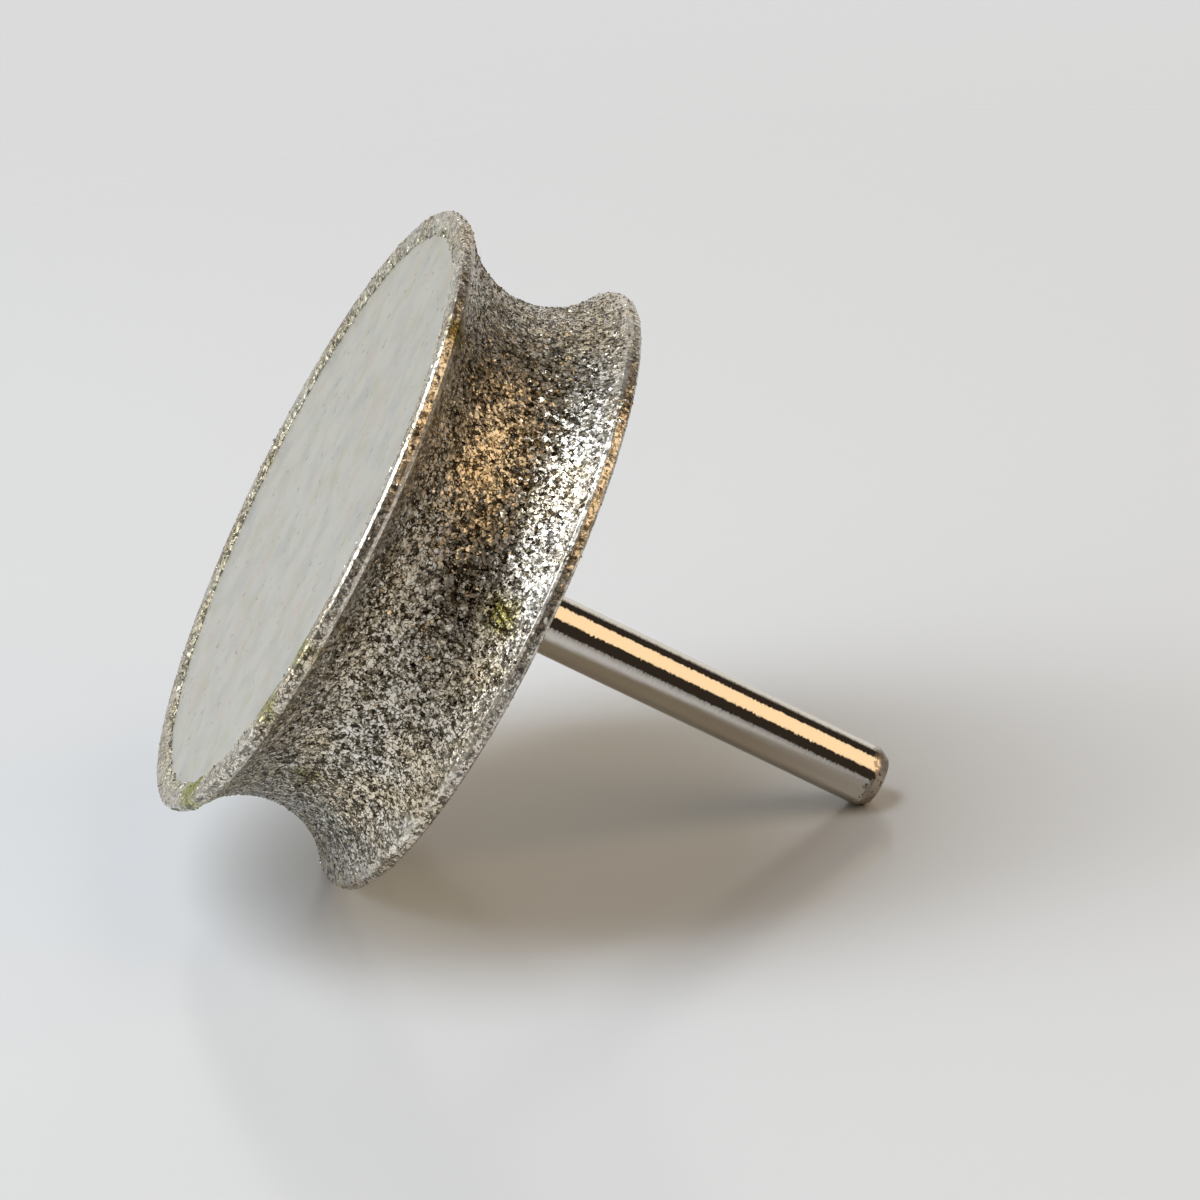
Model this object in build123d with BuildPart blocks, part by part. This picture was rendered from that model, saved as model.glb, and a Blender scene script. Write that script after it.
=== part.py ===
"""Concave diamond grinding wheel on a plain round shank.

A turned steel blank has a concave groove round its edge. A plated layer of
nickel and diamond grit follows the blank: one ring on the front face, and
one skin over the front land, the groove, the rear land and the border of
the back. Both taper off on the steel at their inner edge. A ground steel
shank seats on the back with its shoulder, and its spigot is pressed into a
blind bore there.

The wheel stands on its front face. The origin is at the middle of that
face, on the surface of the layer, and +Z runs along the shank.
"""

from build123d import *
from math import sqrt
import os

# Driving dimensions, in millimetres
wheel_diameter = 62.0
wheel_width = 19.0
groove_radius = 9.5
groove_opening = 16.4
layer_thickness = 0.35
corner_easing = 0.25
border_width = 2.5
border_taper_width = 0.8
border_taper_height = 0.28
shank_diameter = 6.0
shank_reach = 43.0
tip_chamfer_depth = 0.6
tip_chamfer_length = 1.0
spigot_diameter = 5.0
spigot_length = 14.0
spigot_chamfer = 0.4

# The groove is one arc, whose centre lies outside the wheel
wheel_radius = wheel_diameter / 2
groove_middle = wheel_width / 2
groove_centre = wheel_radius + sqrt(groove_radius**2 - (groove_opening / 2) ** 2)

# The steel blank lies one layer inside the finished surface
blank_radius = wheel_radius - layer_thickness
blank_front = layer_thickness
blank_back = wheel_width - layer_thickness
blank_groove_radius = groove_radius + layer_thickness
blank_groove_half = sqrt(blank_groove_radius**2 - (groove_centre - blank_radius) ** 2)
border_inner = wheel_radius - border_width
skin_inner = groove_centre - blank_groove_radius

shank_radius = shank_diameter / 2
shank_tip = wheel_width + shank_reach
spigot_radius = spigot_diameter / 2


def blank_section():
    """Half section of the steel blank: a rectangle whose outer side has the arc of the groove."""
    groove_start = (blank_radius, groove_middle - blank_groove_half)
    groove_floor = (skin_inner, groove_middle)
    groove_end = (blank_radius, groove_middle + blank_groove_half)
    with BuildSketch(Plane.XZ) as section:
        with BuildLine():
            Polyline((0, blank_back), (0, blank_front), (blank_radius, blank_front), groove_start)
            ThreePointArc(groove_start, groove_floor, groove_end)
            Polyline(groove_end, (blank_radius, blank_back), (0, blank_back))
        make_face()
    return section.sketch


def layer_section(*zones):
    """Section of the plated layer inside some zones, each given as (inner radius, low, high).

    The blank's outline is grown by the layer's thickness, its four corners
    at the rim are eased as plating eases them, and the blank is taken away.
    """
    with BuildSketch(Plane.XZ) as grown:
        add(blank_section())
        offset(amount=layer_thickness, kind=Kind.INTERSECTION)
        chamfer(grown.vertices().group_by(Axis.X)[-1], corner_easing)
    with BuildSketch(Plane.XZ) as section:
        for inner, low, high in zones:
            with Locations((inner, low)):
                Rectangle(wheel_radius - inner, high - low, align=(Align.MIN, Align.MIN))
        add(grown.sketch, mode=Mode.INTERSECT)
        add(blank_section(), mode=Mode.SUBTRACT)
    return section.sketch


def smallest_circle(part, height):
    """The smallest circular edge of a part that lies at one height."""
    circles = part.edges().filter_by(GeomType.CIRCLE).filter_by_position(Axis.Z, height, height)
    return circles.sort_by(SortBy.RADIUS)[0]


# Turned steel blank, with the blind bore that takes the shank's spigot
with BuildPart() as wheel_body:
    add(blank_section())
    revolve(axis=Axis.Z)
    with Locations(Plane.XY.offset(blank_back)):
        Hole(spigot_radius, depth=spigot_length)
wheel_body.part.label = "wheel_body"

# Ring of diamond grit round the front face, on which the wheel stands
with BuildPart() as face_ring_grit:
    add(layer_section((border_inner, 0, blank_front)))
    revolve(axis=Axis.Z)
    ring_face = face_ring_grit.faces().sort_by(Axis.Z)[0]
    inner_edge = smallest_circle(face_ring_grit, 0)
    chamfer(inner_edge, border_taper_width, border_taper_height, reference=ring_face)
face_ring_grit.part.label = "face_ring_grit"

# Diamond grit over the front land, the groove, the rear land and the border of the back
with BuildPart() as profile_grit:
    add(layer_section((skin_inner, blank_front, blank_back), (border_inner, blank_back, wheel_width)))
    revolve(axis=Axis.Z)
    border_face = profile_grit.faces().sort_by(Axis.Z)[-1]
    inner_edge = smallest_circle(profile_grit, wheel_width)
    chamfer(inner_edge, border_taper_width, border_taper_height, reference=border_face)
profile_grit.part.label = "profile_grit"

# Ground shank, whose shoulder seats on the back of the blank and whose spigot is pressed into the bore
with BuildPart() as shank:
    with BuildSketch(Plane.XY.offset(blank_back)):
        Circle(shank_radius)
    extrude(amount=shank_tip - blank_back)
    tip_face = shank.faces().sort_by(Axis.Z)[-1]
    tip_edge = smallest_circle(shank, shank_tip)
    chamfer(tip_edge, tip_chamfer_depth, tip_chamfer_length, reference=tip_face)
    with BuildSketch(Plane.XY.offset(blank_back)):
        Circle(spigot_radius)
    extrude(amount=-spigot_length)
    chamfer(smallest_circle(shank, blank_back - spigot_length), spigot_chamfer)
shank.part.label = "shank"

os.makedirs("parts", exist_ok=True)
export_step(wheel_body.part, "parts/wheel_body.step")
export_step(face_ring_grit.part, "parts/face_ring_grit.step")
export_step(profile_grit.part, "parts/profile_grit.step")
export_step(shank.part, "parts/shank.step")
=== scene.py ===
"""Looks of a concave diamond grinding wheel, lying on a pale glossy table.

The wheel's own frame has it standing on its front face. In the picture it lies
on the rim of its back and the tip of its shank, so the table is a plane that
touches those two, and the camera is turned to match.

Lengths are in millimetres unless a comment says otherwise, and MM turns one
to the metres that Blender works in. Angles are written in degrees, and turns
round the wheel are worked out in radians.
"""

import math

import bpy
import numpy as np
from mathutils import Matrix, Vector


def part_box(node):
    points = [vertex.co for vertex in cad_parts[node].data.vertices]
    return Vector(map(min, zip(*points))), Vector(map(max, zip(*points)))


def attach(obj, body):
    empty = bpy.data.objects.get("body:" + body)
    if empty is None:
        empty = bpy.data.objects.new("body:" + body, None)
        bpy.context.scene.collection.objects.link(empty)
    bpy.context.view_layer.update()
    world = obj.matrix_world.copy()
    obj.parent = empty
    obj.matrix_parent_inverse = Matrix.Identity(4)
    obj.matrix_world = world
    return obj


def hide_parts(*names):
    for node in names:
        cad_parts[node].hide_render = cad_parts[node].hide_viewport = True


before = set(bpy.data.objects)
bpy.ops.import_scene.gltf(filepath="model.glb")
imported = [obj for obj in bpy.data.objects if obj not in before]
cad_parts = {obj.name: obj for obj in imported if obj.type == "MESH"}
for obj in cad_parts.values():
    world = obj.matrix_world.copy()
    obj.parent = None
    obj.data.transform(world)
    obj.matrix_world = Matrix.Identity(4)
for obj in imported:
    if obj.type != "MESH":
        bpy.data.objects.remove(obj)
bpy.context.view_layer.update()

MM = 0.001


def high_corner(solid):
    """The highest corner of a solid's box."""
    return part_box(solid)[1] / MM


# Sizes read from the frame
WHEEL_RADIUS = high_corner("face_ring_grit").x
WHEEL_WIDTH = high_corner("profile_grit").z
BLANK_RADIUS = high_corner("wheel_body").x
BLANK_BACK = high_corner("wheel_body").z
SHANK_RADIUS = high_corner("shank").x
SHANK_TIP = high_corner("shank").z
SPIGOT_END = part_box("shank")[0].z / MM

# Sizes that the frame doesn't give, as in the solids
GROOVE_RADIUS = 9.5
GROOVE_OPENING = 16.4
CORNER_EASING = 0.25
BORDER_WIDTH = 2.5
BORDER_TAPER_WIDTH = 0.8
BORDER_TAPER_HEIGHT = 0.28
SPIGOT_RADIUS = 2.5
SPIGOT_CHAMFER = 0.4
TIP_DEPTH = 0.6
TIP_LENGTH = 1.0

# The usual distance between two diamonds in the plated layer
GRAIN_SPACING = 0.34

# Sizes that follow
LAYER = WHEEL_RADIUS - BLANK_RADIUS
BORDER_INNER = WHEEL_RADIUS - BORDER_WIDTH
GROOVE_MIDDLE = WHEEL_WIDTH / 2
GROOVE_CENTRE = WHEEL_RADIUS + math.sqrt(GROOVE_RADIUS**2 - (GROOVE_OPENING / 2) ** 2)
TIP_SHOULDER = SHANK_TIP - TIP_LENGTH
CELLS_ROUND = int(round(2 * math.pi * WHEEL_RADIUS / GRAIN_SPACING))


def linear(hex_colour):
    """An sRGB hex colour as linear RGBA: each channel goes through the sRGB curve."""
    channels = np.array([int(hex_colour[i : i + 2], 16) for i in (1, 3, 5)]) / 255
    straight = np.where(channels <= 0.04045, channels / 12.92, ((channels + 0.055) / 1.055) ** 2.4)
    return (*straight.tolist(), 1.0)


def node(tree, kind, settings=None, **links):
    """Add a shader node, set its attributes and sockets, and link its inputs to other nodes.

    A setting is an attribute of the node or one of its sockets, by name or by
    number. A link is named after its input socket, with _ for a space, or it
    is _ and the socket's number. Its source is an output, or a node, which
    stands for its first output in use.
    """
    made = tree.nodes.new("ShaderNode" + kind)
    for name, value in (settings or {}).items():
        if isinstance(name, int) or name in made.inputs:
            made.inputs[name].default_value = value
        else:
            setattr(made, name, value)
    for name, source in links.items():
        key = int(name[1:]) if name[1:].isdigit() else name.replace("_", " ")
        if isinstance(source, bpy.types.Node):
            source = next(output for output in source.outputs if output.enabled)
        tree.links.new(source, made.inputs[key])
    return made


def colour_ramp(tree, stops, value):
    """A ramp node with (position, hex colour) stops, read at a value."""
    ramp = node(tree, "ValToRGB", Fac=value)
    elements = ramp.color_ramp.elements
    for position, _ in stops[1:-1]:
        elements.new(position)
    for element, (position, colour) in zip(elements, stops):
        element.position, element.color = position, linear(colour)
    return ramp


def new_material(name):
    """An empty node material, and the tree to fill."""
    material = bpy.data.materials.new(name)
    material.use_nodes = True
    material.node_tree.nodes.clear()
    return material, material.node_tree


def scale_of(width):
    """The scale of a pattern that is as wide as given: one over its width in metres."""
    return 1 / (width * MM)


# Shared settings: a colour laid over another, a colour that filters another, and a noise less its mean
BLEND = {"data_type": "RGBA"}
FILTER = {"data_type": "RGBA", "blend_type": "MULTIPLY"}
OFF_MIDDLE = {"operation": "SUBTRACT", 1: (0.5, 0.5, 0.5)}


def make_piece(name, points, faces, material, stands_for=None, smooth=True):
    """A mesh object at the origin, which rides on the root body and may stand for a solid."""
    mesh = bpy.data.meshes.new(name)
    mesh.from_pydata((points.reshape(-1, 3) * MM).tolist(), [], faces)
    mesh.polygons.foreach_set("use_smooth", np.full(len(mesh.polygons), smooth))
    mesh.materials.append(material)
    mesh.update()
    piece = bpy.data.objects.new(name, mesh)
    bpy.context.scene.collection.objects.link(piece)
    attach(piece, "root")
    if stands_for:
        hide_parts(stands_for)
    return piece


def add_attribute(piece, name, values):
    """One number for each vertex of a piece, for its material to read."""
    attribute = piece.data.attributes.new(name, "FLOAT", "POINT")
    attribute.data.foreach_set("value", values)


def turned_points(radius, height, turn):
    """Points turned about the wheel's axis: (radius · cos turn, radius · sin turn, height)."""
    radius, height, turn = np.broadcast_arrays(radius, height, turn)
    return np.stack([radius * np.cos(turn), radius * np.sin(turn), height], -1)


# The outline of the grit is kept as points this far apart
OUTLINE_STEP = 0.02


def arc(centre, radius, start, end):
    """Points along an arc, its centre plus its radius times (cos, sin), and that way at each."""
    count = max(3, int(abs(math.radians(end - start)) * radius / OUTLINE_STEP))
    angle = np.radians(np.linspace(start, end, count))
    way = np.stack([np.cos(angle), np.sin(angle)], 1)
    return np.array(centre) + radius * way, way


def straight_run(start, end):
    """Points along a straight run, and its normal at each: its direction, a quarter turn to the right."""
    start, step = np.array(start, float), np.subtract(end, start)
    size = np.linalg.norm(step)
    count = max(3, int(size / OUTLINE_STEP))
    share = np.linspace(0, 1, count)[:, None]
    return start + step * share, np.repeat([(step[1] / size, -step[0] / size)], count, 0)


def grit_outline():
    """The grit's surface in section: (length so far, points, normals), and where its front corners are.

    It runs from the inner edge of the front ring round the rim, the groove and
    the other rim to the inner edge of the border on the back: a low wall, the
    taper, the face, a bevel, the land, a second bevel, and the groove's arc.
    The second half is the first one mirrored about the wheel's middle plane.
    Points are (radius, height).
    """
    turn = math.degrees(math.asin(GROOVE_OPENING / 2 / GROOVE_RADIUS) - CORNER_EASING / GROOVE_RADIUS)
    groove_points, groove_way = arc((GROOVE_CENTRE, GROOVE_MIDDLE), GROOVE_RADIUS, 180 + turn, 180)
    stops = [
        (BORDER_INNER, LAYER),
        (BORDER_INNER, BORDER_TAPER_HEIGHT),
        (BORDER_INNER + BORDER_TAPER_WIDTH, 0),
        (WHEEL_RADIUS - CORNER_EASING, 0),
        (WHEEL_RADIUS, CORNER_EASING),
        (WHEEL_RADIUS, GROOVE_MIDDLE - GROOVE_OPENING / 2 - CORNER_EASING),
        groove_points[0],
    ]
    runs = [straight_run(start, end) for start, end in zip(stops, stops[1:])]
    runs.append((groove_points, -groove_way))
    points = np.concatenate([run[0] for run in runs])
    normals = np.concatenate([run[1] for run in runs])
    mirrored = points[::-1] * (1, -1) + (0, WHEEL_WIDTH)
    points = np.concatenate([points, mirrored[1:]])
    normals = np.concatenate([normals, (normals[::-1] * (1, -1))[1:]])
    steps = np.linalg.norm(np.diff(points, axis=0), axis=1)
    length = np.concatenate([[0], np.cumsum(steps)])
    corners = length[np.cumsum([len(run[0]) for run in runs[:-1]])]
    return (length, points, normals), corners


OUTLINE, FRONT_CORNERS = grit_outline()
OUTLINE_LENGTH = OUTLINE[0][-1]
CORNERS = np.concatenate([FRONT_CORNERS, OUTLINE_LENGTH - FRONT_CORNERS])
WALL_END, FACE_START, FACE_END, LAND_START, LAND_END, GROOVE_START = FRONT_CORNERS


def on_outline(distance):
    """Radius, height and outward normal at a distance along the grit's outline, by linear blending."""
    length, points, normals = OUTLINE
    radius, height = (np.interp(distance, length, points[:, i]) for i in (0, 1))
    normal_r, normal_z = (np.interp(distance, length, normals[:, i]) for i in (0, 1))
    size = np.hypot(normal_r, normal_z)
    return radius, height, normal_r / size, normal_z / size


def distance_at(radius, height):
    """Distance along the outline of the point nearest to a given radius and height."""
    length, points, _ = OUTLINE
    return length[np.argmin(np.hypot(points[:, 0] - radius, points[:, 1] - height))]


def from_inner_edge(distance):
    """How far a place on the outline is from the nearer inner edge of the layer."""
    return np.minimum(distance, OUTLINE_LENGTH - distance)


# Widths over which the grit thins out: beside a corner, and down the side of the groove
EDGE_FADE = 0.15
GROOVE_FADE = 3.0

# How much of the surface is grit, at distances from an inner edge of the layer
GRIT_SHARES = [
    (0, 0.8),
    (FACE_START, 0.45),
    (FACE_END - EDGE_FADE, 0.45),
    (FACE_END, 0.5),
    (LAND_START, 0.45),
    (LAND_START + EDGE_FADE, 0.75),
    (LAND_END - EDGE_FADE, 0.75),
    (LAND_END, 0.35),
    (GROOVE_START, 0.35),
    (GROOVE_START + 2 * EDGE_FADE, 0.7),
    (GROOVE_START + GROOVE_FADE, 1.0),
]


def grit_share(distance):
    """How much of the surface is grit at a distance along the outline, by linear blending.

    It is 1 in the groove, less on the lands, and least on the faces and the
    bevels, where the plating is built up smooth and bright over the grains.
    """
    places, shares = zip(*GRIT_SHARES)
    return np.interp(from_inner_edge(distance), places, shares)


def between(limits, share):
    """A number part of the way from one limit to the other."""
    low, high = limits
    return low + (high - low) * share


def hashed(cell_a, cell_b, seed):
    """A number from 0 to 1 for each cell: the fraction of a large sine of the cell's indices."""
    wave = np.sin(cell_a * 127.1 + cell_b * 311.7 + seed * 74.7) * 43758.5453
    return wave - np.floor(wave)


# Seeds that keep a cell's random numbers apart
GRAIN_ROUND, GRAIN_ALONG, GRAIN_REACH, GRAIN_HEIGHT, EDGE_WANDER = 1, 2, 3, 4, 5

# Where a grain's centre may lie across its cell, in cells
GRAIN_PLACE = (0.15, 0.85)

# How far a grain's bump reaches, how tall it is, and the mean height of them all, in grain spacings
BUMP_REACH = (0.55, 0.90)
BUMP_HEIGHT = (0.02, 0.09)
MEAN_HEIGHT = 0.03

# The relief is at its full height where the share of grit is more than one over this
RELIEF_PER_SHARE = 2.5


def grain_centre(cell_a, cell_b):
    """Where the grain of a cell has its centre: round the wheel and along the outline, in cells."""
    return (between(GRAIN_PLACE, hashed(cell_a, cell_b, seed)) for seed in (GRAIN_ROUND, GRAIN_ALONG))


def relief(turn, distance):
    """Height of the plated surface over its mean.

    The surface is shared out in cells, one to a grain, with each grain's centre
    thrown off the middle of its cell. A bump falls off with the square of the
    distance from its centre. A point takes the highest bump about it, so that
    the bumps meet in creases as plated grains do. Where there is little grit,
    all of it is lower.
    """
    along = distance / GRAIN_SPACING
    around = turn / (2 * math.pi) * CELLS_ROUND
    cell_a, cell_b = np.floor(around), np.floor(along)
    height = np.zeros_like(along)
    for step_a in (-1, 0, 1):
        for step_b in (-1, 0, 1):
            near_a, near_b = np.mod(cell_a + step_a, CELLS_ROUND), cell_b + step_b
            centre_a, centre_b = grain_centre(near_a, near_b)
            off_a, off_b = cell_a + step_a + centre_a - around, near_b + centre_b - along
            reach = between(BUMP_REACH, hashed(near_a, near_b, GRAIN_REACH))
            tall = between(BUMP_HEIGHT, hashed(near_a, near_b, GRAIN_HEIGHT))
            bump = tall * np.clip(1 - (off_a**2 + off_b**2) / reach**2, 0, 1)
            height = np.maximum(height, bump)
    strength = np.clip(RELIEF_PER_SHARE * grit_share(distance), 0, 1)
    return (height - MEAN_HEIGHT) * GRAIN_SPACING * strength


# Spacing and size of the two noises in the ragged inner edge of a border, and the width they fade over
EDGE_NOISES = [(1.1, 0.5), (0.4, 0.35)]
EDGE_NOISE_FADE = 0.7


def inner_edge_wander(turn, distance):
    """How far the ragged inner edge of a border strays from its circle.

    Each noise blends smoothly from one random number to the next round the
    wheel. Their sum fades with the square of the distance from the edge, as a
    bell curve does.
    """
    stray = np.zeros_like(turn)
    for spacing, size in EDGE_NOISES:
        steps = round(2 * math.pi * BORDER_INNER / spacing)
        place = turn / (2 * math.pi) * steps
        low, share = np.floor(place), place - np.floor(place)
        start, end = (hashed(np.mod(low + k, steps), steps, EDGE_WANDER) - 0.5 for k in (0, 1))
        stray += size * between((start, end), share * share * (3 - 2 * share))
    return stray * np.exp(-((from_inner_edge(distance) / EDGE_NOISE_FADE) ** 2))


# The mesh of a band: points to a grain, and rows of its underside
POINTS_PER_GRAIN = 2
UNDERSIDE_ROWS = 8

# How deep the underside lies, as a share of the layer's thickness
UNDERSIDE_DEPTH = 0.9

# How close a row lies to each side of a corner, and to each end of the band
BESIDE_CORNER = 0.03
BESIDE_SEAM = 0.01

# Oxide at an inner edge of the layer is full up to the first distance and gone at the second
OXIDE_REACH = (0.5, 2.0)


def band_rows(start, end):
    """Distances of a band's rows: even ones, and one close to each side of a corner and to each end.

    The close ones keep the smooth shading from running over a corner.
    """
    count = int(round((end - start) / (GRAIN_SPACING / POINTS_PER_GRAIN))) + 1
    even = np.linspace(start, end, count)[1:-1]
    even = even[np.abs(even[:, None] - CORNERS).min(1) > 2 * BESIDE_CORNER]
    beside = np.concatenate([CORNERS - BESIDE_CORNER, CORNERS + BESIDE_CORNER])
    beside = beside[(beside > start + BESIDE_CORNER) & (beside < end - BESIDE_CORNER)]
    return np.sort(np.concatenate([[start, start + BESIDE_SEAM, end - BESIDE_SEAM, end], even, beside]))


def grid_faces(rows, columns):
    """Four-sided faces between the rows of a grid whose columns close on themselves."""
    row, column = np.meshgrid(np.arange(rows - 1), np.arange(columns), indexing="ij")
    here, beside = row * columns + column, row * columns + (column + 1) % columns
    return np.stack([here, beside, beside + columns, here + columns], 2).reshape(-1, 4)


def plated_band(name, start, end, material, solid):
    """A band of the plated layer: the outline turned about the axis, raised by the relief.

    Turn runs round the wheel and distance along the outline. A point is the
    outline's point, moved along its normal by the relief, and turned. The
    section is closed by a coarse return path inside the layer, nine tenths of
    its thickness down. The layer is thin at its inner edge and full after the
    taper.
    """
    rows = band_rows(start, end)
    distance = np.concatenate([rows, np.linspace(end, start, UNDERSIDE_ROWS)])
    from_edge = from_inner_edge(distance)
    thick = np.interp(from_edge, (WALL_END, FACE_START), (LAYER - BORDER_TAPER_HEIGHT, LAYER))
    below = (np.arange(len(distance)) >= len(rows))[:, None]
    columns = CELLS_ROUND * POINTS_PER_GRAIN
    turn_grid, distance_grid = np.meshgrid(np.arange(columns) / columns * 2 * math.pi, distance)
    radius, height, normal_r, normal_z = on_outline(distance_grid)
    raised = np.where(below, -UNDERSIDE_DEPTH * thick[:, None], relief(turn_grid, distance_grid))
    radius, height = radius + raised * normal_r, height + raised * normal_z
    radius += inner_edge_wander(turn_grid, distance_grid) * ~below
    points = turned_points(radius, height, turn_grid)
    # One more row of faces runs from the last row of points back to the first
    faces = grid_faces(len(distance) + 1, columns) % (len(distance) * columns)
    band = make_piece(name, points, faces.tolist(), material, solid)
    oxide = np.interp(from_edge, OXIDE_REACH, (1, 0))
    add_attribute(band, "grit_share", np.repeat(grit_share(distance), columns))
    add_attribute(band, "edge_tarnish", np.repeat(oxide, columns))


# A blocky diamond crystal: the corners of a cube, and its six sides wound outwards
BLOCK_CORNERS = np.array([(x, y, z) for z in (-1, 1) for y in (-1, 1) for x in (-1, 1)], float)
BLOCK_SIDES = np.array(
    [(0, 2, 3, 1), (4, 5, 7, 6), (0, 1, 5, 4), (2, 6, 7, 3), (0, 4, 6, 2), (1, 3, 7, 5)]
)

# Half the width of a crystal, and how far one is sunk or raised from the usual, in grain spacings
CRYSTAL_SIZE = (0.16, 0.30)
SINK_RANGE = (-0.15, 0.15)

# How far a crystal is stretched along its axes, and its corners thrown, as shares of half its width
STRETCH = (0.7, 1.3)
CORNER_THROW = (-0.35, 0.35)


def random_rotations(draw, count):
    """Rotations that turn every way alike: unit quaternions of normal draws, written out as matrices."""
    quaternion = draw.normal(size=(count, 4))
    quaternion /= np.linalg.norm(quaternion, axis=1, keepdims=True)
    w, x, y, z = quaternion.T
    return np.array([
        [1 - 2 * (y * y + z * z), 2 * (x * y - w * z), 2 * (x * z + w * y)],
        [2 * (x * y + w * z), 1 - 2 * (x * x + z * z), 2 * (y * z - w * x)],
        [2 * (x * z - w * y), 2 * (y * z + w * x), 1 - 2 * (x * x + y * y)],
    ]).transpose(2, 0, 1)


def crystals(name, start, end, material, chance, proud, seed):
    """Single grains of diamond standing out of the plating, as irregular blocks turned every way.

    Each cell of the relief may carry one, with this chance times the share of
    grit. Its corners are a cube's, each thrown off a little, stretched, turned
    by a random rotation and moved to the centre of the cell's grain, as many
    grain spacings above the outline as it is proud.
    """
    draw = np.random.default_rng(seed)
    rows = np.arange(int(start / GRAIN_SPACING), int(end / GRAIN_SPACING))
    cell_a, cell_b = (cells.ravel() for cells in np.meshgrid(np.arange(CELLS_ROUND), rows))
    centre_a, centre_b = grain_centre(cell_a, cell_b)
    turn = (cell_a + centre_a) / CELLS_ROUND * 2 * math.pi
    distance = (cell_b + centre_b) * GRAIN_SPACING
    chosen = draw.random(len(turn)) < chance * grit_share(distance)
    chosen &= (distance > start) & (distance < end)
    turn, distance = turn[chosen], distance[chosen]
    count = len(turn)
    radius, height, normal_r, normal_z = on_outline(distance)
    raised = (draw.uniform(*SINK_RANGE, count) + proud) * GRAIN_SPACING
    centres = turned_points(radius + raised * normal_r, height + raised * normal_z, turn)
    size = GRAIN_SPACING * draw.uniform(*CRYSTAL_SIZE, (count, 1, 1))
    size = size * draw.uniform(*STRETCH, (count, 1, 3))
    corners = (BLOCK_CORNERS + draw.uniform(*CORNER_THROW, (count, *BLOCK_CORNERS.shape))) * size
    points = corners @ random_rotations(draw, count).transpose(0, 2, 1) + centres[:, None, :]
    faces = (BLOCK_SIDES + (np.arange(count) * len(BLOCK_CORNERS))[:, None, None]).reshape(-1, 4)
    grains = make_piece(name, points, faces.tolist(), material, smooth=False)
    add_attribute(grains, "grain_tone", np.repeat(draw.random(count), len(BLOCK_CORNERS)))


# Points round the shank, and how wide the flats are that break its edges
SHANK_COLUMNS = 256
EDGE_EASE = 0.03

# The shank's section, from the end of the spigot to the tip
SHANK_SECTION = [
    (0, SPIGOT_END),
    (SPIGOT_RADIUS - SPIGOT_CHAMFER, SPIGOT_END),
    (SPIGOT_RADIUS, SPIGOT_END + SPIGOT_CHAMFER),
    (SPIGOT_RADIUS, BLANK_BACK),
    (SHANK_RADIUS, BLANK_BACK),
    (SHANK_RADIUS, TIP_SHOULDER),
    (SHANK_RADIUS - TIP_DEPTH, SHANK_TIP),
    (0, SHANK_TIP),
]


def eased(section, ease):
    """A section whose corners are broken by a tiny flat.

    A corner becomes four points: two at the ease's distance along its two
    sides, and two more at three times that, to hold the shading.
    """
    section = np.asarray(section, float)
    corner, before, after = section[1:-1], section[:-2], section[2:]
    back, forth = before - corner, after - corner
    back /= np.linalg.norm(back, axis=1, keepdims=True)
    forth /= np.linalg.norm(forth, axis=1, keepdims=True)
    offsets = [3 * ease * back, ease * back, ease * forth, 3 * ease * forth]
    four = np.stack([corner + offset for offset in offsets], 1)
    return np.concatenate([section[:1], four.reshape(-1, 2), section[-1:]])


def turned(name, section, columns, material, solid):
    """A solid of revolution: a section of (radius, height) points carried round the axis.

    Its first and last point are on the axis and become a single vertex each,
    so the ends are closed.
    """
    turn = np.arange(columns) / columns * 2 * math.pi
    inner = section[1:-1]
    rings = turned_points(inner[:, :1], inner[:, 1:], turn).reshape(-1, 3)
    points = np.concatenate([rings, [(0, 0, section[0, 1]), (0, 0, section[-1, 1])]])
    low, high, last = len(rings), len(rings) + 1, len(rings) - columns
    faces = grid_faces(len(inner), columns).tolist()
    faces += [(low, (i + 1) % columns, i) for i in range(columns)]
    faces += [(high, last + i, last + (i + 1) % columns) for i in range(columns)]
    make_piece(name, points, faces, material, solid)


# A fleck's tilt is a vector added to the unit normal, drawn from a cube of this side: flattest, steepest
FLAT_TILT = 0.12
STEEP_TILT = 1.55

# The power of a random number that picks a fleck's tilt, so that steep ones are few
STEEP_POWER = 6.0

# Tilt of the slow swell under the flecks, on the same measure
SWELL_TILT = 0.9

# How far the flecks' outlines are bent by the swell, in grain spacings
FLECK_WARP = 3.2

# Patterns of the plated grit, as how many there are to a grain
SWELLS_PER_GRAIN = 0.8
FLECKS_PER_GRAIN = 0.9
# The dark creases are painted shade: they exist in the colour only
SHADED_CREASES_PER_GRAIN = 0.58
RIPPLES_PER_GRAIN = 3.0

# Height of the fine ripples on a fleck
RIPPLE_HEIGHT = 0.006

# Colours of the flecks, from the brown tops of bare diamonds to bright nickel
FLECK_COLOURS = [(0, "#2E281F"), (0.18, "#585040"), (0.33, "#A09885"), (0.47, "#E2DCD0"), (1, "#F6F2EA")]

# The painted shade in the creases between grains, and the nickel where there is less grit
CREASE_SHADE_COLOUR = "#241F18"
PLAIN_NICKEL = "#ECE7DE"

# Warm clouds and ragged oxide on the nickel: their usual widths, and the colours that filter it
CLOUD_WIDTH = 6.0
CLOUD_COLOUR = "#FFF4E0"
OXIDE_WIDTH = 0.9
OXIDE_COLOUR = "#E2E6D8"

# Green and brown oxide stains: place, reach, and the colour that filters the nickel there
STAINS = [
    (-4.4, 28.4, 0.0, 4.2, "#C2CC50"),
    (23.4, -13.5, 0.0, 1.7, "#C9C66A"),
    (19.0, 22.2, 0.0, 2.4, "#C9CE6A"),
    (13.6, 26.2, 0.0, 2.4, "#CCD082"),
    (24.5, 13.7, 15.0, 2.6, "#BDBB7C"),
    (29.7, -7.5, 1.5, 2.2, "#B5AF74"),
    (2.8, 26.2, 8.1, 2.2, "#BAB68C"),
]

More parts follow.
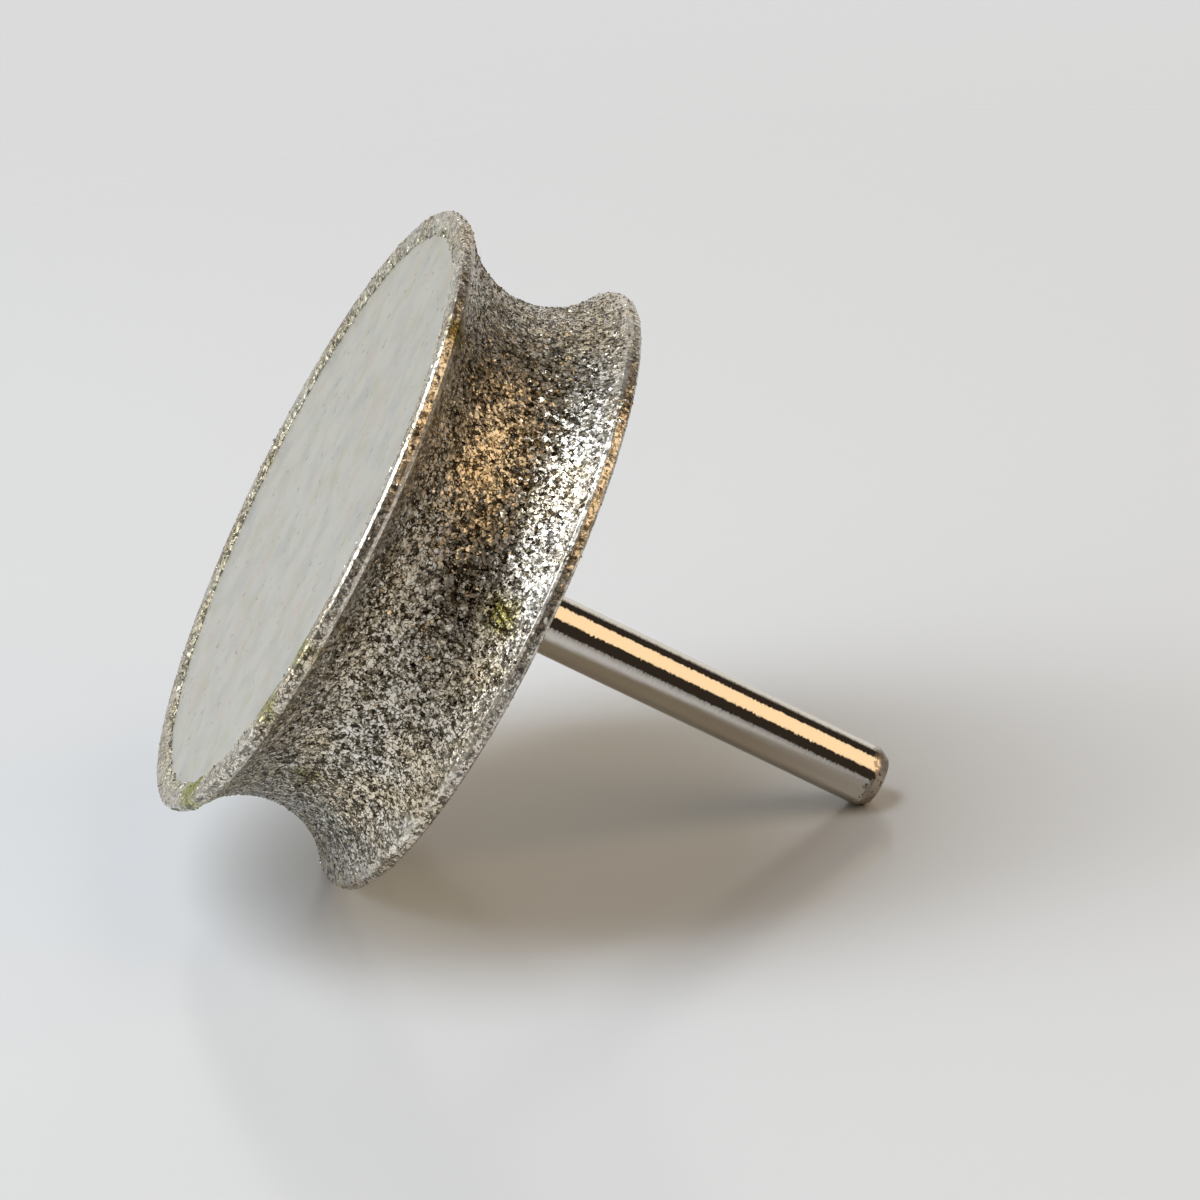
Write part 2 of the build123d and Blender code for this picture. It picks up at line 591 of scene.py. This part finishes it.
# How far the ragged oxide bends a stain's outline, and how much of its reach is stained in full
STAIN_WANDER = 3.0
STAIN_CORE = 0.3


def tilted(tree, facing, tilt):
    """A normal with a tilt added to it, brought back to unit length."""
    added = node(tree, "VectorMath", {"operation": "ADD"}, _0=facing, _1=tilt)
    return node(tree, "VectorMath", {"operation": "NORMALIZE"}, _0=added)


def uneven_share(tree, clouds):
    """The share of grit from the band's attribute, raised to a power that drifts with the clouds."""
    share = node(tree, "Attribute", {"attribute_name": "grit_share"}).outputs["Fac"]
    drift = {"From Min": 0.4, "From Max": 0.6, "To Min": 1.1, "To Max": 0.3}
    power = node(tree, "MapRange", drift, Value=clouds)
    return node(tree, "Math", {"operation": "POWER"}, _0=share, _1=power)


def crumpled_normal(tree, place, share, swell, flecks, chance):
    """The normal of the plated grains: the true one, plus each fleck's tilt and the swell.

    A fleck tilts the way that its random colour says, and a second random
    number raised to a high power says how far. Tilt and swell are both times
    the share of grit. Fine ripples lie over it all.
    """
    facing = node(tree, "NewGeometry").outputs["Normal"]
    steep = node(tree, "Math", {"operation": "POWER", 1: STEEP_POWER}, _0=chance)
    how_far = node(tree, "MapRange", {"To Min": FLAT_TILT, "To Max": STEEP_TILT}, Value=steep)
    fleck_way = node(tree, "VectorMath", OFF_MIDDLE, _0=flecks.outputs["Color"])
    fleck_tilt = node(tree, "VectorMath", {"operation": "SCALE"}, _0=fleck_way, Scale=how_far)
    swing = {"operation": "MULTIPLY_ADD", 1: (SWELL_TILT,) * 3}
    tilt = node(tree, "VectorMath", swing, _0=swell, _2=fleck_tilt)
    calmed = node(tree, "VectorMath", {"operation": "SCALE"}, _0=tilt, Scale=share)
    ripples = {"Scale": scale_of(GRAIN_SPACING) * RIPPLES_PER_GRAIN, "Detail": 1.0}
    fine = node(tree, "TexNoise", ripples, Vector=place)
    bumps = {"Strength": 1.0, "Distance": RIPPLE_HEIGHT * MM}
    return node(tree, "Bump", bumps, Height=fine, Normal=tilted(tree, facing, calmed))


def grain_colour(tree, place, share, chance):
    """Colour of the flecks, with dark creases between grains.

    Painted shade darkens creases between grains, along where a slow noise is
    close to its middle value. Where there is less grit, the plain nickel shows.
    """
    flecked = colour_ramp(tree, FLECK_COLOURS, chance)
    crease_shade_noise = {"Scale": scale_of(GRAIN_SPACING) * SHADED_CREASES_PER_GRAIN, "Detail": 1.0}
    noise = node(tree, "TexNoise", crease_shade_noise, Vector=place)
    centred = node(tree, "Math", {"operation": "SUBTRACT", 1: 0.5}, _0=noise)
    off_fold = node(tree, "Math", {"operation": "ABSOLUTE"}, _0=centred)
    # Painted shade: the nickel is darkened along creases between grains, where shade falls
    narrow = {"From Min": 0.018, "From Max": 0.06, "To Min": 0.9, "To Max": 0.0}
    crease_shade = node(tree, "MapRange", narrow, Value=off_fold)
    crease_shaded = node(tree, "Mix", BLEND | {7: linear(CREASE_SHADE_COLOUR)}, _0=crease_shade, _6=flecked)
    covered = node(tree, "Math", {"operation": "POWER", 1: 0.8}, _0=share)
    return node(tree, "Mix", BLEND | {6: linear(PLAIN_NICKEL)}, _0=covered, _7=crease_shaded)


def edge_oxide(tree, ragged):
    """How much dull oxide there is: most at an inner edge of the layer, in ragged patches."""
    near_edge = node(tree, "Attribute", {"attribute_name": "edge_tarnish"}).outputs["Fac"]
    patches = {"From Min": 0.35, "From Max": 0.6, "To Min": 0.25}
    patchy = node(tree, "MapRange", patches, Value=ragged)
    return node(tree, "Math", {"operation": "MULTIPLY"}, _0=near_edge, _1=patchy)


def stained(tree, place, ragged, colour):
    """A colour filtered by the stains: each is a ball about its place, bent by the ragged noise."""
    stray = node(tree, "VectorMath", OFF_MIDDLE, _0=ragged.outputs["Color"])
    wander = {"operation": "MULTIPLY_ADD", 1: (STAIN_WANDER * MM,) * 3}
    strayed = node(tree, "VectorMath", wander, _0=stray, _2=place)
    for *centre, reach, shade in STAINS:
        spot = tuple(value * MM for value in centre)
        away = node(tree, "VectorMath", {"operation": "DISTANCE", 1: spot}, _0=strayed)
        limits = {"From Min": reach * MM, "From Max": STAIN_CORE * reach * MM}
        strength = node(tree, "MapRange", limits, Value=away)
        colour = node(tree, "Mix", FILTER | {7: linear(shade)}, _0=strength, _6=colour)
    return colour


def plated_nickel():
    """Bright nickel plated over diamond grit: a nearly neutral metal, crumpled by the grains.

    The surface is shared out in flecks about the size of a grain. Most lean a
    little, so that a lamp still shows as one bright zone, and a few are steep,
    which gives dark specks there and bright ones in the shade. Some are the
    bare tops of brown diamonds, and creases between the grains are painted dark
    as shade. Where there is less grit, the flecks are flatter and nearer to
    plain nickel. The inner edges of the layer are dulled by oxide, and a few
    stains lie on it.
    """
    material, tree = new_material("nickel_bond")
    place = node(tree, "TexCoord").outputs["Object"]
    clouds = node(tree, "TexNoise", {"Scale": scale_of(CLOUD_WIDTH), "Detail": 3.0}, Vector=place)
    share = uneven_share(tree, clouds)

    swells = {"Scale": scale_of(GRAIN_SPACING) * SWELLS_PER_GRAIN, "Detail": 2.0, "Roughness": 0.6}
    noise = node(tree, "TexNoise", swells, Vector=place)
    swell = node(tree, "VectorMath", OFF_MIDDLE, _0=noise.outputs["Color"])
    warp = {"operation": "MULTIPLY_ADD", 1: (FLECK_WARP * GRAIN_SPACING * MM,) * 3}
    bent = node(tree, "VectorMath", warp, _0=swell, _2=place)
    flecks = node(tree, "TexVoronoi", {"Scale": scale_of(GRAIN_SPACING) * FLECKS_PER_GRAIN}, Vector=bent)
    numbers = node(tree, "TexWhiteNoise", Vector=flecks.outputs["Position"])
    chances = node(tree, "SeparateColor", Color=numbers.outputs["Color"]).outputs
    normal = crumpled_normal(tree, place, share, swell, flecks, chances[0])
    colour = grain_colour(tree, place, share, chances[1])

    cloudy = node(tree, "MapRange", {"From Min": 0.4, "From Max": 0.7}, Value=clouds)
    colour = node(tree, "Mix", FILTER | {7: linear(CLOUD_COLOUR)}, _0=cloudy, _6=colour)
    ragged = node(tree, "TexNoise", {"Scale": scale_of(OXIDE_WIDTH), "Detail": 3.0}, Vector=place)
    oxide = edge_oxide(tree, ragged)
    colour = node(tree, "Mix", FILTER | {7: linear(OXIDE_COLOUR)}, _0=oxide, _6=colour)
    shader = node(
        tree,
        "BsdfPrincipled",
        Base_Color=stained(tree, place, ragged, colour),
        Metallic=node(tree, "MapRange", {"To Min": 1.0, "To Max": 0.6}, Value=oxide),
        Roughness=node(tree, "MapRange", {"To Min": 0.34, "To Max": 0.5}, Value=oxide),
        Normal=normal,
    )
    node(tree, "OutputMaterial", Surface=shader)
    return material


def diamond_grain():
    """Synthetic diamond grit, half sunk in the nickel: blocky crystals, olive to grey.

    Each crystal has one tone. The darker ones are bare and gloss as diamond
    does, and the lighter ones, rather more than half, are plated over.
    """
    material, tree = new_material("diamond_grain")
    tone = node(tree, "Attribute", {"attribute_name": "grain_tone"}).outputs["Fac"]
    tones = [(0, "#3A3226"), (0.35, "#6E6552"), (0.6, "#A39B88"), (1, "#B9B1A0")]
    shader = node(
        tree,
        "BsdfPrincipled",
        {"Roughness": 0.28, "IOR": 2.4},
        Base_Color=colour_ramp(tree, tones, tone),
        Metallic=node(tree, "MapRange", {"From Min": 0.40, "From Max": 0.42}, Value=tone),
    )
    node(tree, "OutputMaterial", Surface=shader)
    return material


# Usual widths of the patches on the wheel's flat faces, and of the pits among them
MOTTLE_WIDTH = 4.0
PIT_WIDTH = 0.9

# The metal of the flat faces, the tints of its patches, and its pits
SATIN_NICKEL = "#DCDDD6"
MOTTLE_TINTS = ("#CDCEB6", "#D9D1C8", "#C8CCCB")
PIT_COLOUR = "#84816F"


def satin_plate():
    """Turned steel under dull nickel: a pale satin metal, mottled and lightly pitted.

    The three channels of one soft noise tint the metal olive, pink and grey,
    each where it is high. The peaks of a finer noise are the pits.
    """
    material, tree = new_material("satin_nickel_face")
    place = node(tree, "TexCoord").outputs["Object"]
    mottle = node(tree, "TexNoise", {"Scale": scale_of(MOTTLE_WIDTH), "Detail": 3.0}, Vector=place)
    patches = node(tree, "SeparateColor", Color=mottle.outputs["Color"]).outputs
    under = {}
    for patch, shade in zip(patches, MOTTLE_TINTS):
        limits = {"From Min": 0.48, "From Max": 0.72, "To Max": 0.8}
        mask = node(tree, "MapRange", limits, Value=patch)
        colours = {6: linear(SATIN_NICKEL), 7: linear(shade)}
        under = {"_6": node(tree, "Mix", BLEND | colours, _0=mask, **under)}
    fine = node(tree, "TexNoise", {"Scale": scale_of(PIT_WIDTH), "Detail": 2.0}, Vector=place)
    pits = node(tree, "MapRange", {"From Min": 0.66, "From Max": 0.74, "To Max": 0.6}, Value=fine)
    shader = node(
        tree,
        "BsdfPrincipled",
        {"Metallic": 1.0},
        Base_Color=node(tree, "Mix", BLEND | {7: linear(PIT_COLOUR)}, _0=pits, **under),
        Roughness=node(tree, "MapRange", {"To Min": 0.24, "To Max": 0.36}, Value=patches[0]),
        Normal=node(tree, "Bump", {"Strength": 0.12, "Distance": 0.02 * MM}, Height=fine),
    )
    node(tree, "OutputMaterial", Surface=shader)
    return material


# A grinding mark on the shank: its tilt beside a unit normal, its length round the rod, its width along it
MARK_TILT = 0.12
MARK_LENGTH = 0.5
MARK_WIDTH = 0.12

# Size and usual width of the noise that is added to the height to make the edge of the wear ragged
WEAR_WANDER = 3.0
WEAR_WIDTH = 0.8

# How far that sum is over the shoulder of the tip where the wear starts, and where it is full
WEAR_LIMITS = (0.9, 1.15)

# Usual width of the pits in the worn tip
TIP_PIT_WIDTH = 0.3

# The shank's plating, the steel where that is worn off, and its pits
BRIGHT_STEEL = "#DCD6CD"
WORN_STEEL = "#B4AA9F"
TIP_PIT_COLOUR = "#4A4038"


def bright_shank():
    """Ground steel rod under bright plating: mirror-like, with a dull, pitted tip.

    The grinding marks turn the surface a little about the rod's axis only, so
    they make the edges of long reflections ragged and leave them straight.
    The tip is worn where its height, plus a noise, passes a limit.
    """
    material, tree = new_material("bright_ground_steel")
    place = node(tree, "TexCoord").outputs["Object"]
    facing = node(tree, "NewGeometry").outputs["Normal"]
    round_way = node(tree, "VectorMath", {"operation": "CROSS_PRODUCT", 0: (0, 0, 1)}, _1=facing)
    mark_scale = (scale_of(MARK_LENGTH), scale_of(MARK_LENGTH), scale_of(MARK_WIDTH))
    stretched = node(tree, "Mapping", {"Scale": mark_scale}, Vector=place)
    marks = node(tree, "TexNoise", {"Scale": 1.0, "Detail": 2.0, "Roughness": 0.6}, Vector=stretched)
    swing = node(tree, "MapRange", {"To Min": -MARK_TILT, "To Max": MARK_TILT}, Value=marks)
    tilt = node(tree, "VectorMath", {"operation": "SCALE"}, _0=round_way, Scale=swing)

    height = node(tree, "SeparateXYZ", Vector=place).outputs["Z"]
    worn = node(tree, "TexNoise", {"Scale": scale_of(WEAR_WIDTH), "Detail": 3.0}, Vector=place)
    ragged = node(tree, "Math", {"operation": "MULTIPLY_ADD", 1: WEAR_WANDER * MM}, _0=worn, _2=height)
    low, high = ((TIP_SHOULDER + limit) * MM for limit in WEAR_LIMITS)
    tip = node(tree, "MapRange", {"From Min": low, "From Max": high}, Value=ragged)
    pits = node(tree, "TexNoise", {"Scale": scale_of(TIP_PIT_WIDTH), "Detail": 2.0}, Vector=place)
    pitted = node(tree, "MapRange", {"From Min": 0.58, "From Max": 0.66}, Value=pits)
    tip_pits = node(tree, "Math", {"operation": "MULTIPLY"}, _0=tip, _1=pitted)
    steels = {6: linear(BRIGHT_STEEL), 7: linear(WORN_STEEL)}
    steel = node(tree, "Mix", BLEND | steels, _0=tip)
    shader = node(
        tree,
        "BsdfPrincipled",
        {"Metallic": 1.0},
        Base_Color=node(tree, "Mix", BLEND | {7: linear(TIP_PIT_COLOUR)}, _0=tip_pits, _6=steel),
        Roughness=node(tree, "MapRange", {"To Min": 0.05, "To Max": 0.42}, Value=tip),
        Normal=tilted(tree, facing, tilt),
    )
    node(tree, "OutputMaterial", Surface=shader)
    return material


# The photograph's camera: the direction it looks from, and how far it is rolled
CAMERA_AZIMUTH = 117.06
CAMERA_ELEVATION = -13.56
CAMERA_ROLL = 115.75

# What it is aimed at, and how far that is away
CAMERA_TARGET = (7.90, -0.59, 27.9)
CAMERA_DISTANCE = 586.6

# Its lens and sensor, and the nearest and farthest that it sees, in metres
CAMERA_LENS = 187.1
SENSOR_WIDTH = 36.0
CAMERA_CLIP = (0.01, 20)


def camera_axes():
    """Right, up and back of the photograph's camera, in the wheel's frame.

    Back points from the target to the camera, by azimuth and elevation. Right
    starts level and up square to both, and the two are rolled about back.
    """
    azimuth, elevation, roll = (math.radians(a) for a in (CAMERA_AZIMUTH, CAMERA_ELEVATION, CAMERA_ROLL))
    flat = math.cos(elevation)
    back = Vector((math.sin(azimuth) * flat, -math.cos(azimuth) * flat, math.sin(elevation)))
    level = Vector((0, 0, 1)).cross(back).normalized()
    rise = back.cross(level)
    right = level * math.cos(roll) + rise * math.sin(roll)
    up = rise * math.cos(roll) - level * math.sin(roll)
    return right, up, back


RIGHT, UP, BACK = camera_axes()


def make_camera():
    """The photograph's camera, aimed at a point beside the wheel's axis."""
    camera = bpy.data.objects.new("camera", bpy.data.cameras.new("camera"))
    camera.data.lens, camera.data.sensor_width = CAMERA_LENS, SENSOR_WIDTH
    camera.data.clip_start, camera.data.clip_end = CAMERA_CLIP
    turned_to = Matrix((RIGHT, UP, BACK)).transposed().to_4x4()
    spot = (Vector(CAMERA_TARGET) + BACK * CAMERA_DISTANCE) * MM
    camera.matrix_world = Matrix.Translation(spot) @ turned_to
    bpy.context.scene.collection.objects.link(camera)
    bpy.context.scene.camera = camera


# How far the table's normal is turned about the wheel's axis
TABLE_AZIMUTH = -45.0

# The height on the wheel's axis that the table has its middle under
TABLE_MIDDLE = 30.0

# Half the table's side, and between which distances it fades to the backdrop, in metres
TABLE_HALF = 1.2
TABLE_FADE = (0.12, 0.30)

# The table, and the plain backdrop that the camera sees beyond it
TABLE_COLOUR = "#CFD1D3"
BACKDROP_COLOUR = "#DBDBDB"


def table_plane():
    """Normal of the table, and a point on it in metres.

    It touches the rim of the back and the shoulder of the tip's chamfer. Its
    lean is the angle of the line from one to the other, and the point is on
    the shoulder.
    """
    lean = math.atan2(WHEEL_RADIUS - SHANK_RADIUS, TIP_SHOULDER - WHEEL_WIDTH)
    azimuth = math.radians(TABLE_AZIMUTH)
    out = Vector((math.cos(azimuth), math.sin(azimuth), 0))
    normal = out * math.cos(lean) - Vector((0, 0, 1)) * math.sin(lean)
    return normal, (Vector((0, 0, TIP_SHOULDER)) - out * SHANK_RADIUS) * MM


TABLE_NORMAL, TABLE_POINT = table_plane()


def table_finish():
    """Glossy white table that fades to the backdrop away from the wheel, and is seen from above only."""
    material, tree = new_material("glossy_white_table")
    place = node(tree, "TexCoord").outputs["Object"]
    reach = node(tree, "VectorMath", {"operation": "LENGTH"}, _0=place)
    low, high = TABLE_FADE
    fade = {"From Min": low, "From Max": high, "interpolation_type": "SMOOTHSTEP"}
    far = node(tree, "MapRange", fade, Value=reach)
    from_below = node(tree, "NewGeometry").outputs["Backfacing"]
    camera_ray = node(tree, "LightPath").outputs["Is Camera Ray"]
    seen_far = node(tree, "Math", {"operation": "MULTIPLY"}, _0=far, _1=camera_ray)
    hidden = node(tree, "Math", {"operation": "MAXIMUM"}, _0=seen_far, _1=from_below)
    gloss = {"Base Color": linear(TABLE_COLOUR), "Roughness": 0.18, "IOR": 1.45}
    shader = node(tree, "BsdfPrincipled", gloss)
    clear = node(tree, "BsdfTransparent")
    mixed = node(tree, "MixShader", _0=hidden, _1=shader, _2=clear)
    node(tree, "OutputMaterial", Surface=mixed)
    return material


def make_table():
    """The table: one square that faces along its normal, under the middle of wheel and shank."""
    mesh = bpy.data.meshes.new("table")
    corners = [(x * TABLE_HALF, y * TABLE_HALF, 0) for x, y in ((-1, -1), (1, -1), (1, 1), (-1, 1))]
    mesh.from_pydata(corners, [], [(0, 1, 2, 3)])
    mesh.materials.append(table_finish())
    table = bpy.data.objects.new("table", mesh)
    foot = Vector((0, 0, TABLE_MIDDLE * MM))
    foot -= TABLE_NORMAL * (foot - TABLE_POINT).dot(TABLE_NORMAL)
    turned_to = TABLE_NORMAL.to_track_quat("Z", "Y").to_matrix().to_4x4()
    table.matrix_world = Matrix.Translation(foot) @ turned_to
    bpy.context.scene.collection.objects.link(table)


def seen_way(right, up, back):
    """A unit direction given by how far it points to the picture's right, up, and back to the viewer."""
    return (RIGHT * right + UP * up + BACK * back).normalized()


def over_table(turn, rise):
    """A unit direction: turned from the viewer to the picture's right, and raised from the table."""
    front = (BACK - TABLE_NORMAL * BACK.dot(TABLE_NORMAL)).normalized()
    side = TABLE_NORMAL.cross(front)
    turn, rise = math.radians(turn), math.radians(rise)
    flat = front * math.cos(turn) + side * math.sin(turn)
    return flat * math.cos(rise) + TABLE_NORMAL * math.sin(rise)


def make_panel(name, way, along, spread, power, colour):
    """A flat lamp a metre from the wheel, facing it.

    It stands in the direction `way`, its longer side follows `along`, and its
    spread is the angles that it covers across and along.
    """
    lamp = bpy.data.lights.new(name, "AREA")
    lamp.shape = "RECTANGLE"
    lamp.size, lamp.size_y = (2 * math.tan(math.radians(angle) / 2) for angle in spread)
    lamp.color = linear(colour)[:3]
    lamp.energy = power * math.pi * lamp.size * lamp.size_y
    across = along.cross(way).normalized()
    turned_to = Matrix((across, way.cross(across), way)).transposed().to_4x4()
    panel = bpy.data.objects.new(name, lamp)
    panel.matrix_world = Matrix.Translation(Vector((0, 0, WHEEL_WIDTH * MM)) + way) @ turned_to
    bpy.context.scene.collection.objects.link(panel)


# The dim room about the table
ROOM_COLOUR = "#352E27"

# Its pale lit walls: turn and rise, how far out each is full and where it ends, power and colour
LIT_WALLS = [
    (-88, 38, 27, 52, 1.0, "#FFFBF2"),
    (178, 8, 25, 45, 0.8, "#FFFCF5"),
]


def make_world():
    """A dim warm room with soft pale patches for its lit walls.

    A patch is full in the middle and fades to nothing at its end, by the
    angle from its direction. The camera sees the plain backdrop instead.
    """
    world = bpy.data.worlds.new("studio")
    bpy.context.scene.world = world
    world.use_nodes = True
    tree = world.node_tree
    tree.nodes.clear()
    way = node(tree, "TexCoord").outputs["Generated"]
    light = node(tree, "CombineXYZ", dict(enumerate(linear(ROOM_COLOUR)[:3])))
    for turn, rise, full, end, power, colour in LIT_WALLS:
        towards = {"operation": "DOT_PRODUCT", 1: tuple(over_table(turn, rise))}
        near = node(tree, "VectorMath", towards, _0=way)
        low, high = (math.cos(math.radians(angle)) for angle in (end, full))
        fade = {"From Min": low, "From Max": high, "interpolation_type": "SMOOTHSTEP"}
        share = node(tree, "MapRange", fade, Value=near)
        glow = tuple(channel * power for channel in linear(colour)[:3])
        light = node(tree, "VectorMath", {"operation": "MULTIPLY_ADD", 1: glow}, _0=share, _2=light)
    lit = node(tree, "Background", {"Strength": 1.0}, Color=light)
    plain = node(tree, "Background", {"Color": linear(BACKDROP_COLOUR), "Strength": 1.0})
    camera_ray = node(tree, "LightPath").outputs["Is Camera Ray"]
    mixed = node(tree, "MixShader", _0=camera_ray, _1=lit, _2=plain)
    node(tree, "OutputWorld", Surface=mixed)


# The studio
make_camera()
make_table()
make_world()
make_panel(
    "left_softbox",
    way=over_table(-88, 53),
    along=TABLE_NORMAL,
    spread=(30, 64),
    power=5.6,
    colour="#EBF4FF",
)
make_panel(
    "warm_panel",
    way=seen_way(0.70, 0.54, 0.46),
    along=seen_way(-0.065, -0.586, 0.808),
    spread=(52, 49),
    power=1.4,
    colour="#FFDFB4",
)

# The steel blank is shown as its solid, with a finish
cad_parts["wheel_body"].data.materials.clear()
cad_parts["wheel_body"].data.materials.append(satin_plate())

# Where the bands of the plated layer meet, along the outline
FRONT_END = distance_at(WHEEL_RADIUS, LAYER)
MIDDLE = OUTLINE_LENGTH / 2
BACK_START = OUTLINE_LENGTH - FRONT_END

# The bands: name, start, end, the solid each stands for, and its crystals' chance, height and seed
BANDS = [
    ("ring", 0.0, FRONT_END, "face_ring_grit", 0.4, -0.2, 11),
    ("front", FRONT_END, MIDDLE, "profile_grit", 0.45, -0.12, 12),
    ("rear", MIDDLE, BACK_START, "profile_grit", 0.45, -0.12, 13),
    ("border", BACK_START, OUTLINE_LENGTH, "profile_grit", 0.4, -0.2, 14),
]
nickel = plated_nickel()
for name, start, end, solid, *_ in BANDS:
    plated_band(name + "_plating", start, end, nickel, solid)
grain = diamond_grain()
for name, start, end, _, chance, proud, seed in BANDS:
    crystals(name + "_crystals", start, end, grain, chance, proud, seed)

shank_section = eased(SHANK_SECTION, EDGE_EASE)
turned("plated_shank", shank_section, SHANK_COLUMNS, bright_shank(), "shank")

bpy.context.scene.view_settings.view_transform = "Standard"
